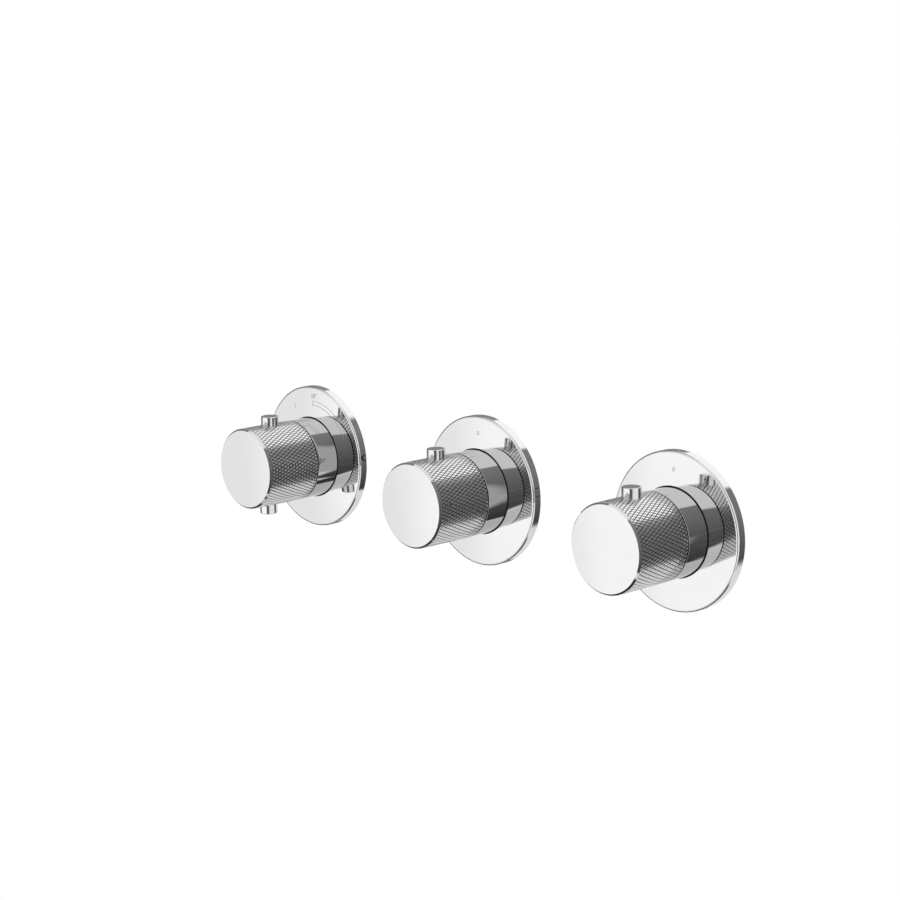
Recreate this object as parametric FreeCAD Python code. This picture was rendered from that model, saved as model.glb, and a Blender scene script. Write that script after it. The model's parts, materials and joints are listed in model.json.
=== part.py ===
import FreeCAD, Part
import math
import os
from FreeCAD import Vector

# Concealed thermostatic shower valve with one temperature control and two flow controls.
# Millimetres. The finished wall is the plane y = 0, the knobs stand in front of it (-Y) and the brass
# bodies lie in it (+Y). +Z is up. The origin is where the middle valve's axis meets the wall.

# what shows
valve_spacing = 118.3
plate_radius = 35.0
plate_crown = 5.93
plate_dome = 430.0
plate_rounding = 0.95
sleeve_radius = 19.6
sleeve_front = -17.7
knob_radius = 19.7
knob_rear = -18.0
knob_front = -47.8
knob_wall = 2.7
cap_thickness = 1.0
cap_bevel = 0.9
cap_dome = 400.0
pin_radius = 4.2
pin_reach = 24.0
pin_place = -31.6
lower_pin_place = -33.7

# diamond knurl of the grips
knurl_starts = 70
knurl_rows = 16
knurl_depth = 0.3
knurl_rear = -18.7

# seal between sleeve and plate
lip_width = 0.5
lip_proud = 0.15

# what the unpressed button's tooth comes up against, inside the temperature sleeve
stop_rib_inner = 16.7

# brass bodies
nose_radius = 17.0
nose_front = 6.5
nose_rear = 18.0
thermo_barrel_radius = 20.5
flow_barrel_radius = 17.5
body_rear = 68.0
gallery_depth = 55.0
gallery_bore = 8.0
gallery_boss = 12.5
gallery_reach = 30.0
link_radius = 9.0
link_insertion = 8.0
inlet_depth = 36.8
inlet_offset = 14.5
inlet_mouth = -54.0
outlet_depth = 31.0
outlet_mouth = 44.0
leg_radius = 13.0
leg_bore = 8.5
thread_bore = 9.3
thread_length = 13.0
hex_flats = 27.0
hex_height = 11.0
lug_radius = 5.5
lug_place = 20.8
rail_screw_radius = 2.5

# thermostatic cartridge
cartridge_bore = 14.6
flange_bore = 15.6
chamber_radius = 17.6
cold_chamber = (30.0, 35.5)
hot_chamber = (38.0, 43.5)
thermo_cavity_end = 62.0
spindle_radius = 5.0
running_gap = 0.05
setting_bore = 10.8
shuttle_bore = 12.0
cold_seat = 30.95
hot_seat = 42.65
shuttle_front = 31.4
shuttle_rear = 42.0
hot_turn = 30.0
cold_turn = 180.0

# quarter-turn cartridge
flow_thread = 12.0
flow_cage = 10.7
disc_bore = 9.0
flow_seat = 42.6

# mounting rail
rail_thickness = 2.5
rail_half_length = 150.0
rail_half_height = 30.0
rail_lip = 8.0
wall_hole_radius = 2.75
wall_hole_height = 20.0

# spline between spindle and knob
spline_radius = 4.0
spline_depth = 0.4
spline_teeth = 18
spline_front = -22.0
hub_radius = 9.5
hub_front = -37.0
hub_rear = -10.0
web_front = -28.0
web_rear = -24.0

along_x = Vector(1, 0, 0)
along_y = Vector(0, 1, 0)
along_z = Vector(0, 0, 1)
temp_x = -valve_spacing
flow_xs = (0.0, valve_spacing)


def corner(before, here, after, radius):
    # start, middle and end of the arc that rounds one corner of an outline
    back = (before - here).normalize()
    on = (after - here).normalize()
    half = back.getAngle(on) / 2
    middle = (back + on).normalize()
    start = here + back * (radius / math.tan(half))
    end = here + on * (radius / math.tan(half))
    crown = here + middle * (radius / math.sin(half) - radius)
    return start, crown, end


def outline(points):
    # closed face through (across, along) points in the XY plane; a third number rounds that corner
    places = [Vector(p[0], p[1], 0) for p in points]
    rounds = [p[2] if len(p) > 2 else 0 for p in points]
    count = len(places)
    edges = []
    arcs = []
    for i, radius in enumerate(rounds):
        here = places[i]
        if radius:
            arcs.append(corner(places[i - 1], here, places[(i + 1) % count], radius))
        else:
            arcs.append((here, here, here))
    for i, (start, crown, end) in enumerate(arcs):
        if rounds[i]:
            edges.append(Part.Arc(start, crown, end).toShape())
        following = arcs[(i + 1) % count][0]
        if (following - end).Length > 1e-6:
            edges.append(Part.makeLine(end, following))
    return Part.Face(Part.Wire(edges))


def turned(points, x=0.0):
    # body of revolution about a valve's axis from (radius, y) points
    solid = outline(points).revolve(Vector(), along_y, 360)
    return solid.translate(Vector(x, 0, 0))


def ring(outer, inner, y0, y1, x=0.0):
    return turned([(inner, y0), (outer, y0), (outer, y1), (inner, y1)], x)


def rod(radius, y0, y1, x=0.0, z=0.0):
    return Part.makeCylinder(radius, y1 - y0, Vector(x, y0, z), along_y)


def cross_rod(radius, x0, x1, y, z=0.0):
    return Part.makeCylinder(radius, x1 - x0, Vector(x0, y, z), along_x)


def post(radius, z0, z1, x, y):
    return Part.makeCylinder(radius, z1 - z0, Vector(x, y, z0), along_z)


def block(x0, x1, y0, y1, z0, z1):
    return Part.makeBox(x1 - x0, y1 - y0, z1 - z0, Vector(x0, y0, z0))


def prism(flats, sides, start, direction, height):
    # regular prism, such as a spanner hexagon
    reach = flats / 2 / math.cos(math.pi / sides)
    points = []
    for i in range(sides + 1):
        angle = 2 * math.pi * (i + 0.5) / sides
        points.append(Vector(reach * math.cos(angle), reach * math.sin(angle), 0))
    solid = Part.Face(Part.makePolygon(points)).extrude(Vector(0, 0, height))
    solid.Placement = FreeCAD.Placement(start, FreeCAD.Rotation(along_z, direction))
    return solid


def sector(outer, inner, y0, y1, clock0, clock1, x=0.0):
    # part of a ring between two clock angles, seen from the front
    face = outline([(inner, y0), (outer, y0), (outer, y1), (inner, y1)])
    solid = face.revolve(Vector(), along_y, clock1 - clock0)
    solid.rotate(Vector(), along_y, clock0 - 90)
    return solid.translate(Vector(x, 0, 0))


def around(piece, count, x=0.0, first=0.0):
    # copies of a piece, evenly spaced about a valve's axis
    copies = []
    for i in range(count):
        one = piece.copy()
        one.rotate(Vector(x, 0, 0), along_y, first + 360.0 * i / count)
        copies.append(one)
    return Part.makeCompound(copies)


def o_ring(radius, thickness, y, x=0.0):
    return Part.makeTorus(radius, thickness / 2, Vector(x, y, 0), along_y)


def fused(first, *others):
    return first.fuse(list(others)).removeSplitter()


def spline_shaft(y0, y1, x):
    # toothed end of a spindle
    points = []
    for i in range(2 * spline_teeth + 1):
        angle = math.pi * i / spline_teeth
        radius = spline_radius - (i % 2) * spline_depth
        points.append(Vector(radius * math.sin(angle), 0, radius * math.cos(angle)))
    shaft = Part.Face(Part.makePolygon(points)).extrude(Vector(0, y1 - y0, 0))
    return shaft.translate(Vector(x, y0, 0))


def dome_drop(dome, radius):
    # how far a domed face has fallen back at this radius
    return dome - math.sqrt(dome ** 2 - radius ** 2)


def domed(solid, dome, crown, x):
    # turns the front of a solid into part of a large ball; crown is the front on the axis
    return solid.common(Part.makeSphere(dome, Vector(x, crown + dome, 0)))


def wall_plate(x):
    # dished plate with a domed front: rim on the wall, collar round the sleeve
    bore = sleeve_radius + lip_width
    blank = turned([
        (bore, -plate_crown), (plate_radius, -plate_crown), (plate_radius, 0), (plate_radius - 2, 0),
        (plate_radius - 2, -3.2), (bore + 2, -3.2), (bore + 2, -1), (bore, -1),
    ], x)
    plate = domed(blank, plate_dome, -plate_crown, x)
    edge_y = dome_drop(plate_dome, plate_radius) - plate_crown
    front_edge = [
        edge for edge in plate.Edges
        if edge.BoundBox.YLength < 0.01 and abs(edge.BoundBox.YMin - edge_y) < 0.01
    ]
    return plate.makeFillet(plate_rounding, front_edge)


def seal_ring(x):
    outer = sleeve_radius + lip_width
    front = dome_drop(plate_dome, outer) - plate_crown - lip_proud
    return turned([(sleeve_radius, front), (outer, front, 0.3), (outer, -1), (sleeve_radius, -1)], x)


def plate_gasket(x):
    return ring(plate_radius - 2.3, sleeve_radius + lip_width + 2.5, -3.2, 0, x)


def sleeve(x):
    # tube over the cartridge, threaded on the body's nose
    return turned([
        (sleeve_radius - 1.7, sleeve_front, 0.3), (sleeve_radius, sleeve_front, 0.3), (sleeve_radius, 12),
        (nose_radius, 12), (nose_radius, nose_front + 0.5), (sleeve_radius - 1.7, nose_front + 0.5),
    ], x)


def temp_sleeve():
    # the rib inside is what the unpressed button catches on at 38 degrees
    rib = sector(sleeve_radius - 1.5, stop_rib_inner, -9.5, -5.5, -24, -16, temp_x)
    return fused(sleeve(temp_x), rib)


def knurl_point(step, row):
    # crests and valleys take turns round the grip and along it
    front = knob_front + cap_thickness
    radius = knob_radius - (step + row) % 2 * knurl_depth
    angle = math.pi * (step % (2 * knurl_starts)) / knurl_starts
    y = front + (knurl_rear - front) * row / knurl_rows
    return Vector(radius * math.sin(angle), y, radius * math.cos(angle))


def knurled_bar():
    # bar covered in diamonds; every cell is two triangles that meet along a groove
    steps = 2 * knurl_starts
    faces = []
    for row in range(knurl_rows):
        for step in range(steps):
            a, b = knurl_point(step, row), knurl_point(step + 1, row)
            d, c = knurl_point(step, row + 1), knurl_point(step + 1, row + 1)
            crest_first = (step + row) % 2 == 0
            cells = ((a, b, d), (b, c, d)) if crest_first else ((a, b, c), (a, c, d))
            faces += [Part.Face(Part.makePolygon([*cell, cell[0]])) for cell in cells]
    for row in (0, knurl_rows):
        faces.append(Part.Face(Part.makePolygon([knurl_point(step, row) for step in range(steps + 1)])))
    skin = Part.makeShell(faces)
    skin.sewShape()
    return Part.makeSolid(skin)


def knob_shell():
    # grip tube on the middle axis: knurled up to a smooth collar at its rear end
    inner = knob_radius - knob_wall
    grip = knurled_bar().cut(rod(inner, knob_front, knob_rear))
    collar = turned([
        (inner, knurl_rear), (knob_radius - knurl_depth, knurl_rear), (knob_radius, knurl_rear + knurl_depth),
        (knob_radius, knob_rear - 0.3), (knob_radius - 0.3, knob_rear), (inner, knob_rear),
    ])
    return grip.fuse(collar)


def knob_cap(x):
    # front disc with a domed face and a bevelled edge, pressed into the shell
    rear = knob_front + cap_thickness
    spigot = knob_radius - knob_wall
    rise = dome_drop(cap_dome, knob_radius - cap_bevel)
    blank = turned([
        (0, knob_front - rise), (knob_radius - cap_bevel - rise, knob_front - rise),
        (knob_radius - 0.1, knob_front + cap_bevel - 0.1), (knob_radius - 0.1, rear), (spigot, rear),
        (spigot, rear + 3), (spigot - 1.5, rear + 3), (spigot - 1.5, rear), (0, rear),
    ], x)
    return domed(blank, cap_dome, knob_front - rise, x)


def hub(x):
    # splined boss on its web, with the screw's recess in front
    inner = knob_radius - knob_wall
    boss = turned([
        (2.1, hub_front + 7), (4.2, hub_front + 7), (4.2, hub_front), (hub_radius, hub_front, 0.8),
        (hub_radius, web_front, 1), (inner, web_front), (inner, web_rear), (hub_radius, web_rear, 1.5),
        (hub_radius, hub_rear, 0.5), (2.1, hub_rear),
    ], x)
    return boss.cut(spline_shaft(spline_front, hub_rear, x))


def grip_pin(x, side):
    # turned pin standing on the knob, its stem screwed into the hub; side is 1 on top, -1 below
    face = outline([
        (0, 6.5), (2.5, 6.5), (2.5, 16), (pin_radius, 16), (pin_radius, pin_reach, 0.35), (0, pin_reach),
    ])
    pin = face.revolve(Vector(), along_y, 360)
    pin.rotate(Vector(), along_x, 90 * side)
    return pin.translate(Vector(x, pin_place if side > 0 else lower_pin_place, 0))


def pin_hole(x, side, radius):
    z0, z1 = sorted((side * 15.0, side * 20.0))
    return post(radius, z0, z1, x, pin_place if side > 0 else lower_pin_place)


def knob_screw(x):
    head = rod(3.6, hub_front + 4, hub_front + 7, x)
    shank = rod(2.0, hub_front + 7, hub_rear - 2, x)
    socket = prism(3.0, 6, Vector(x, hub_front + 4, 0), along_y, 2)
    return fused(head, shank).cut(socket)


def temp_knob(shell):
    return shell.translated(Vector(temp_x, 0, 0)).cut([
        pin_hole(temp_x, 1, pin_radius + 0.08), pin_hole(temp_x, -1, pin_radius),
    ])


def temp_knob_insert():
    # hub with the stop tab, the spring's pocket and the slot for the button's tongue
    tab = sector(12.8, 11.0, web_rear - 1, 5.8, 172, 188, temp_x)
    pocket = post(3.9, 8.0, 12.0, temp_x, pin_place)
    slot = block(temp_x - 3, temp_x + 3, web_front - 1, web_rear + 1, 10.0, 18.0)
    foot_room = post(5.6, 9.9, 18.0, temp_x, pin_place)
    stem = post(2.5, -17.0, -6.5, temp_x, lower_pin_place)
    return fused(hub(temp_x), tab).cut([pocket, slot, foot_room, stem, pin_hole(temp_x, -1, pin_radius)])


def override_button():
    # pin with a foot under the knob's wall and a tongue that runs back to the stop
    face = outline([
        (0, 13.4), (5.2, 13.4), (5.2, 15.4), (pin_radius, 15.4), (pin_radius, pin_reach, 0.35), (0, pin_reach),
    ])
    pin = face.revolve(Vector(), along_y, 360)
    pin.rotate(Vector(), along_x, 90)
    pin.translate(Vector(temp_x, pin_place, 0))
    tongue = block(temp_x - 2.5, temp_x + 2.5, pin_place, -6, 13.4, 15.0)
    tooth = block(temp_x - 2.5, temp_x + 2.5, -9, -6, 14.9, 16.3)
    return fused(pin, tongue, tooth)


def override_spring():
    spring = post(3.7, 8.0, 13.4, temp_x, pin_place)
    return spring.cut(post(2.8, 8.0, 13.4, temp_x, pin_place))


def stop_ring():
    # clipped on the cartridge's neck; the long lug is what the insert's tab runs against
    half_tab = 8.0
    room = 1.0
    lug = sector(12.8, 10.0, 2.5, 6.5, half_tab + room + cold_turn - 180, 180 - hot_turn - half_tab - room, temp_x)
    return fused(ring(10.6, 9.0, 2.5, 6.5, temp_x), lug)


def thermo_spindle():
    shaft = turned([
        (0, -8), (spline_radius - 0.5, -8), (spindle_radius, -6.5), (spindle_radius, 16.6), (8.5, 16.6),
        (8.5, 19.3), (4.5, 19.3), (4.5, 26.2), (4.2, 26.5), (0, 26.5),
    ], temp_x)
    head = spline_shaft(spline_front, -7.5, temp_x)
    return fused(shaft, head).cut(rod(2.0, spline_front, hub_rear - 2, temp_x))


def thermo_housing():
    # neck for the stop ring, flange under the nut, chambers for the setting nut and the shuttle
    shell = turned([
        (spindle_radius + running_gap, 1), (9, 1, 0.5), (9, 15), (15.3, 15), (15.3, 18), (14.4, 18),
        (14.4, 23.5), (12.9, 23.5), (12.9, 25.5), (14.4, 25.5), (14.4, 35.75), (12.9, 35.75), (12.9, 37.75),
        (14.4, 37.75), (14.4, 46), (shuttle_bore, 46), (shuttle_bore, cold_seat), (setting_bore, cold_seat),
        (setting_bore, 16.5), (spindle_radius + running_gap, 16.5),
    ], temp_x)
    keyway = block(temp_x + 9, temp_x + 11.8, 19.5, 32, -1.65, 1.65)
    cold_slot = block(temp_x + 11, temp_x + 16, 31.2, 34.6, -3, 3)
    hot_slot = block(temp_x + 11, temp_x + 16, 39.0, 42.4, -3, 3)
    return shell.cut([
        around(keyway, 2, temp_x), around(cold_slot, 6, temp_x, 30), around(hot_slot, 6, temp_x, 30),
    ])


def thermo_base():
    # hot seat, screwed into the housing, with the cage that carries the return spring
    seat = turned([
        (9.6, hot_seat), (shuttle_bore, hot_seat), (shuttle_bore, 46), (14.4, 46), (14.4, 47), (12.9, 47),
        (12.9, 49), (14.4, 49), (14.4, 50.5), (9.6, 50.5),
    ], temp_x)
    end = ring(12.5, 4.6, 58, 60, temp_x)
    rib = block(temp_x + 10, temp_x + 12.5, 50, 58.5, -1.5, 1.5)
    return fused(seat, end, around(rib, 4, temp_x))


def thermo_nut():
    # ring nut that holds the cartridge, with four spanner slots
    nut = turned([
        (9.4, 8), (flange_bore, 8, 0.5), (flange_bore, 15), (9.4, 15),
    ], temp_x)
    slot = block(temp_x + 11, temp_x + 16, 7, 10.5, -1.6, 1.6)
    return nut.cut(around(slot, 4, temp_x, 45))


def setting_nut():
    # threaded on the spindle, kept from turning by two keys
    nut = turned([
        (4.55, 21.4), (10.7, 21.4), (10.7, 29), (7, 29), (7, 24.4), (4.55, 24.4),
    ], temp_x)
    key = block(temp_x + 10, temp_x + 11.6, 22, 28.4, -1.5, 1.5)
    return fused(nut, around(key, 2, temp_x))


def overload_spring():
    return ring(6.6, 5.3, 24.4, 27.2, temp_x)


def overload_plunger():
    return turned([(0, 27.2), (6.9, 27.2), (6.9, 28.2), (2.6, 28.2), (2.6, 28.7), (0, 28.7)], temp_x)


def wax_piston():
    return turned([(0, 28.7), (1.5, 28.7), (1.5, 34.4), (0, 34.4)], temp_x)


def wax_element():
    # guide, crimped collar and copper bulb
    return turned([
        (1.58, 31.4), (3.2, 31.4, 0.4), (3.2, 35.5), (5, 35.5), (5, 38.5), (4, 38.5), (4, 54, 1.5), (0, 54),
        (0, 38), (1.58, 38),
    ], temp_x)


def shuttle():
    # slides between the cold seat in front and the hot seat behind
    slider = turned([
        (10, shuttle_front), (shuttle_bore - running_gap, shuttle_front), (shuttle_bore - running_gap, 36),
        (10.9, 36), (10.9, 37.5), (shuttle_bore - running_gap, 37.5), (shuttle_bore - running_gap, shuttle_rear),
        (10, shuttle_rear), (10, 38), (5, 38), (5, 35.5), (10, 35.5),
    ], temp_x)
    port = rod(1.3, 35, 39, temp_x + 8.5)
    return slider.cut(around(port, 8, temp_x))


def shuttle_seal():
    return ring(shuttle_bore - running_gap, 10.9, 36.05, 37.45, temp_x)


def return_spring():
    return ring(7.0, 5.8, 38, 58, temp_x)


def rail_lugs(x):
    # upper and lower screw lugs at a body's back
    return [rod(lug_radius, body_rear - 10, body_rear, x, side * lug_place) for side in (1, -1)]


def lug_holes(x):
    return [
        rod(rail_screw_radius, body_rear - 9, body_rear, x, side * lug_place) for side in (1, -1)
    ]


def threaded_leg(x, y, mouth):
    # spanner hexagon and round leg; mouth is the height of its open end
    down = 1 if mouth > 0 else -1
    leg = post(leg_radius, min(0, mouth), max(0, mouth), x, y)
    hexagon = prism(hex_flats, 6, Vector(x, y, mouth), Vector(0, 0, -down), hex_height)
    return [leg, hexagon]


def thermo_body():
    # forged barrel on the cartridge, two inlet legs below and the mixed outlet to the right
    barrel = turned([
        (0, nose_front), (nose_radius, nose_front, 0.5), (nose_radius, nose_rear),
        (thermo_barrel_radius, nose_rear, 1.5), (thermo_barrel_radius, body_rear, 1.5), (0, body_rear),
    ], temp_x)
    outlet = cross_rod(gallery_boss, temp_x, temp_x + gallery_reach, gallery_depth)
    solids = [outlet, *rail_lugs(temp_x)]
    for side in (1, -1):
        solids += threaded_leg(temp_x + side * inlet_offset, inlet_depth, inlet_mouth)
    bore = turned([
        (0, nose_front), (flange_bore, nose_front), (flange_bore, 18), (cartridge_bore, 18),
        (cartridge_bore, cold_chamber[0]), (chamber_radius, cold_chamber[0]), (chamber_radius, cold_chamber[1]),
        (cartridge_bore, cold_chamber[1]), (cartridge_bore, hot_chamber[0]), (chamber_radius, hot_chamber[0]),
        (chamber_radius, hot_chamber[1]), (cartridge_bore, hot_chamber[1]), (cartridge_bore, thermo_cavity_end),
        (0, thermo_cavity_end),
    ], temp_x)
    holes = [
        bore,
        cross_rod(gallery_bore, temp_x, temp_x + gallery_reach, gallery_depth),
        cross_rod(link_radius, temp_x + gallery_reach - link_insertion, temp_x + gallery_reach, gallery_depth),
        *lug_holes(temp_x),
    ]
    for side, chamber in ((1, cold_chamber), (-1, hot_chamber)):
        x = temp_x + side * inlet_offset
        holes.append(post(thread_bore, inlet_mouth, inlet_mouth + thread_length, x, inlet_depth))
        holes.append(post(leg_bore, inlet_mouth, -21.5, x, inlet_depth))
        for reach in (8.0, 14.0):
            place = temp_x + side * reach
            holes.append(post(2.6, -22, -9, place, sum(chamber) / 2))
    return fused(barrel, *solids).cut(holes)


def flow_body(x):
    # forged barrel on the cartridge, the gallery across its back and the outlet leg on top
    barrel = turned([
        (0, nose_front), (nose_radius, nose_front, 0.5), (nose_radius, nose_rear),
        (flow_barrel_radius, nose_rear, 0.4), (flow_barrel_radius, body_rear, 1.5), (0, body_rear),
    ], x)
    gallery = cross_rod(gallery_boss, x - gallery_reach, x + gallery_reach, gallery_depth)
    solids = [gallery, *rail_lugs(x), *threaded_leg(x, outlet_depth, outlet_mouth)]
    bore = turned([
        (0, nose_front), (flow_thread, nose_front), (flow_thread, 22), (10.8, 22), (10.8, 25), (14.2, 25),
        (14.2, 38), (10.8, 38), (10.8, flow_seat), (5.6, flow_seat), (5.6, gallery_depth), (0, gallery_depth),
    ], x)
    holes = [
        bore,
        cross_rod(gallery_bore, x - gallery_reach, x + gallery_reach, gallery_depth),
        post(thread_bore, outlet_mouth - thread_length, outlet_mouth, x, outlet_depth),
        post(leg_bore, 8, outlet_mouth, x, outlet_depth),
        *lug_holes(x),
    ]
    for start in (x - gallery_reach, x + gallery_reach - link_insertion):
        holes.append(cross_rod(link_radius, start, start + link_insertion, gallery_depth))
    return fused(barrel, *solids).cut(holes)


def link_tube(x):
    # brass tube from the body at x to the next one, with a ring groove at each end
    start = x + gallery_reach - link_insertion
    end = x + valve_spacing - gallery_reach + link_insertion
    tube = cross_rod(link_radius, start, end, gallery_depth)
    bore = cross_rod(link_radius - 2, start, end, gallery_depth)
    grooves = []
    for place in (start + 2, end - 4):
        groove = cross_rod(link_radius, place, place + 2, gallery_depth)
        grooves.append(groove.cut(cross_rod(link_radius - 1.2, place, place + 2, gallery_depth)))
    return tube.cut([bore, *grooves])


def link_seals(x):
    start = x + gallery_reach - link_insertion + 3
    end = x + valve_spacing - gallery_reach + link_insertion - 3
    return [
        Part.makeTorus(link_radius - 0.6, 0.6, Vector(place, gallery_depth, 0), along_x) for place in (start, end)
    ]


def gallery_plug():
    # closes the far end of the gallery
    face = flow_xs[1] + gallery_reach
    plug = cross_rod(link_radius, face - link_insertion, face + 1, gallery_depth)
    head = prism(19, 6, Vector(face, gallery_depth, 0), along_x, 4.5)
    return fused(plug, head)


def check_valve_body(x):
    # cage with its seat at the bottom and a three-armed guide near the top
    z0 = inlet_mouth + thread_length + 3
    cage = post(leg_bore - 0.05, z0, -22, x, inlet_depth)
    hollow = post(7.2, z0 + 2, -22, x, inlet_depth)
    seat = post(5.2, z0, z0 + 2, x, inlet_depth)
    guide = post(2.6, z0 + 9.5, z0 + 11, x, inlet_depth)
    arms = []
    for angle in (0, 120, 240):
        arm = block(x, x + 7.6, inlet_depth - 0.8, inlet_depth + 0.8, z0 + 9.5, z0 + 11)
        arm.rotate(Vector(x, inlet_depth, 0), along_z, angle)
        arms.append(arm)
    stem = post(1.48, z0 + 9, z0 + 12, x, inlet_depth)
    return fused(cage.cut([hollow, seat]), guide, *arms).cut(stem)


def check_poppet(x):
    z0 = inlet_mouth + thread_length + 5
    return fused(post(6.4, z0, z0 + 1.4, x, inlet_depth), post(1.4, z0, z0 + 9.5, x, inlet_depth))


def check_spring(x):
    z0 = inlet_mouth + thread_length + 6.4
    return post(2.5, z0, z0 + 6.1, x, inlet_depth).cut(post(1.9, z0, z0 + 6.1, x, inlet_depth))


def inlet_filter(x):
    # strainer cup under each check valve
    z0 = inlet_mouth + thread_length
    rim = post(leg_bore - 0.05, z0, z0 + 3, x, inlet_depth)
    rim = rim.cut(post(leg_bore - 1.2, z0 + 0.8, z0 + 3, x, inlet_depth))
    holes = [post(1.0, z0, z0 + 1, x, inlet_depth)]
    for i in range(6):
        angle = math.pi * i / 3
        holes.append(post(1.0, z0, z0 + 1, x + 4 * math.cos(angle), inlet_depth + 4 * math.sin(angle)))
    return rim.cut(holes)


def flow_housing(x):
    # neck, spanner hexagon, thread and the cage round the discs
    shell = turned([
        (4.95, -6), (7.5, -6, 0.4), (7.5, 1.5), (12, 1.5), (12, nose_front), (flow_thread, nose_front),
        (flow_thread, 21), (flow_cage, 22), (flow_cage, 42.3), (disc_bore, 42.3), (disc_bore, 27), (4.95, 27),
    ], x)
    hexagon = prism(24, 6, Vector(x, 1.5, 0), along_y, nose_front - 1.5).cut(rod(11, 1, 7, x))
    stop = sector(9.4, 7.5, 28.4, 32.3, 170, 190, x)
    window = block(x - 4.5, x + 4.5, 28.5, 35.5, 8, 12)
    return fused(shell, hexagon, stop).cut(around(window, 3, x))


def flow_spindle(x):
    # notched foot: the notch is a quarter turn wider than the housing's stop
    foot = ring(8.7, 4.0, 28.5, 32.4, x).cut(sector(9, 7.3, 28, 33, 168, 282, x))
    shaft = turned([
        (0, -8), (spline_radius - 0.5, -8), (4.9, -6.5), (4.9, 28.5), (6, 28.5), (6, 32.4), (0, 32.4),
    ], x)
    drive = block(x - 6, x + 6, 32, 34, -1.5, 1.5)
    head = spline_shaft(spline_front, -7.5, x)
    return fused(shaft, foot, drive, head).cut(rod(2.0, spline_front, hub_rear - 2, x))


def ceramic_disc(x, y0, y1, radius, first):
    # disc with two opposite windows
    disc = rod(radius, y0, y1, x)
    windows = [sector(7.6, 2.6, y0, y1, first + turn - 38, first + turn + 38, x) for turn in (0, 180)]
    return disc.cut(windows)


def moving_disc(x):
    disc = ceramic_disc(x, 32.6, 36, 8.6, 0)
    return disc.cut(block(x - 6.1, x + 6.1, 32, 34.1, -1.6, 1.6))


def fixed_disc(x):
    return ceramic_disc(x, 36.05, 39.5, 8.95, 90)


def flow_knob(shell, x):
    # shell and hub turned from one bar
    solid = shell.translated(Vector(x, 0, 0)).fuse(hub(x))
    return solid.cut([pin_hole(x, 1, pin_radius), post(2.5, 6.5, 16, x, pin_place)])


def mounting_rail():
    # folded steel rail with four wall holes and six countersunk screw holes
    front, back = body_rear, body_rear + rail_thickness
    length, height = rail_half_length, rail_half_height
    section = outline([
        (front - rail_lip, height), (front - rail_lip, height - rail_thickness),
        (front, height - rail_thickness, 1), (front, rail_thickness - height, 1),
        (front - rail_lip, rail_thickness - height), (front - rail_lip, -height), (back, -height, 3),
        (back, height, 3),
    ])
    section.Placement = FreeCAD.Placement(Vector(-length, 0, 0), FreeCAD.Rotation(Vector(1, 1, 1), 120))
    rail = section.extrude(Vector(2 * length, 0, 0))
    holes = []
    for x in (-valve_spacing / 2, valve_spacing / 2):
        for z in (-wall_hole_height, wall_hole_height):
            holes.append(rod(wall_hole_radius, front - 1, back + 1, x, z))
    return rail.cut([*holes, *screw_cones()])


def screw_cones():
    cones = []
    for x in (temp_x, *flow_xs):
        for side in (1, -1):
            place = Vector(x, body_rear, side * lug_place)
            cones.append(Part.makeCone(rail_screw_radius, 5.0, rail_thickness, place, along_y))
    return cones


def rail_screws():
    screws = []
    for cone in screw_cones():
        x, z = cone.BoundBox.Center.x, cone.BoundBox.Center.z
        screw = fused(cone, rod(rail_screw_radius, body_rear - 9, body_rear, x, z))
        screws.append(screw.cut(prism(3.0, 6, Vector(x, body_rear + rail_thickness - 1.6, z), along_y, 2)))
    return screws


def body_seals():
    rings = [o_ring(13.75, 1.7, y, temp_x) for y in (24.5, 36.75, 48)]
    for x in flow_xs:
        rings.append(ring(8.95, 5.6, 39.5, flow_seat, x))
    for x in (temp_x, flow_xs[0]):
        rings += link_seals(x)
    return rings


def save(name, shape):
    solid = Part.makeCompound(shape) if isinstance(shape, list) else shape
    if len(solid.Solids) == 1:
        solid = solid.Solids[0]
    if not solid.isValid() or not solid.Solids:
        raise ValueError(name + " is not a sound solid")
    solid.exportStep("parts/" + name + ".step")
    box = solid.BoundBox
    print(f"{name:22} solids {len(solid.Solids)} faces {len(solid.Faces)} volume {solid.Volume:9.1f}"
          f"  x {box.XMin:.1f} {box.XMax:.1f}  y {box.YMin:.1f} {box.YMax:.1f}  z {box.ZMin:.1f} {box.ZMax:.1f}")


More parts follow.
